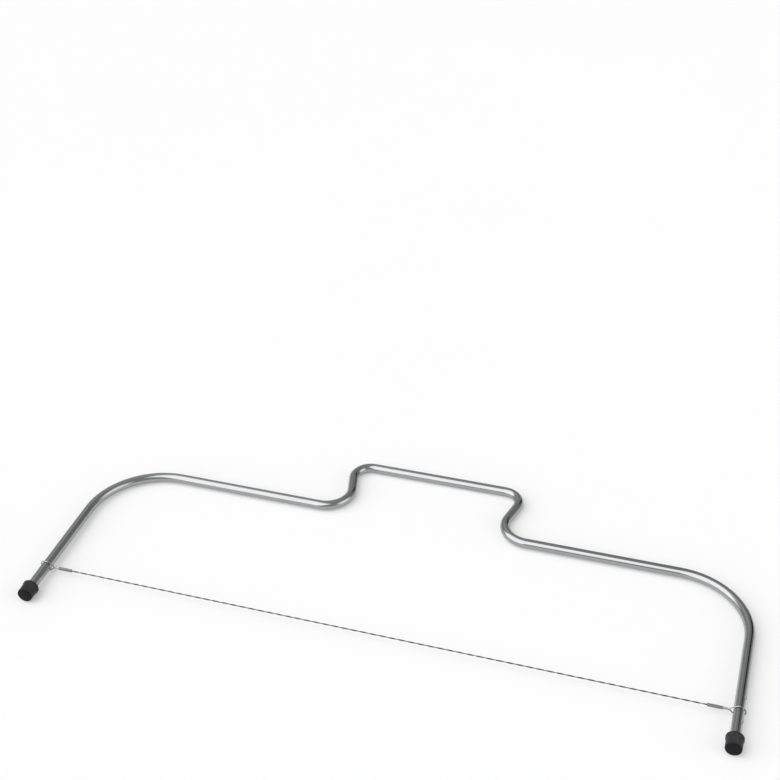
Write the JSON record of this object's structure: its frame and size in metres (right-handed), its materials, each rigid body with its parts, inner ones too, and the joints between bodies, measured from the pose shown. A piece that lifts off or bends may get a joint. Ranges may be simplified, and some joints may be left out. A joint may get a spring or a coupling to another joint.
{
  "type": "cake leveler",
  "caption": "Cake leveler lying flat: bent steel rod frame with a raised handle, push-on foot caps and a taut cutting wire whose end loops hook into notches in the legs.",
  "frame": {"origin": "centre of the bounding box in plan, on the surface that the tool lies on", "axes": "+X along the cutting wire, +Y from the feet towards the handle, +Z up from the surface; in use the tool stands on its feet with +Y up"},
  "size_m": [0.3482, 0.1454, 0.0083],
  "materials": {
    "rod_steel": "polished",
    "cap_plastic": "satin moulded",
    "wire_steel": "drawn",
    "ferrule_metal": "dull crimped"
  },
  "bodies": {
    "frame": {"frame_rod": "rod_steel", "left_foot_cap": "cap_plastic", "right_foot_cap": "cap_plastic"},
    "wire_set": {"cutting_wire": "wire_steel", "left_end_loop": "wire_steel", "right_end_loop": "wire_steel", "left_ferrule": "ferrule_metal", "right_ferrule": "ferrule_metal"}
  },
  "joints": [
    {"name": "wire_height", "type": "slide", "parent": "frame", "child": "wire_set", "axis": [0, 0.9999, -0.0119], "range_m": [-0.0072, 0.0072]}
  ]
}
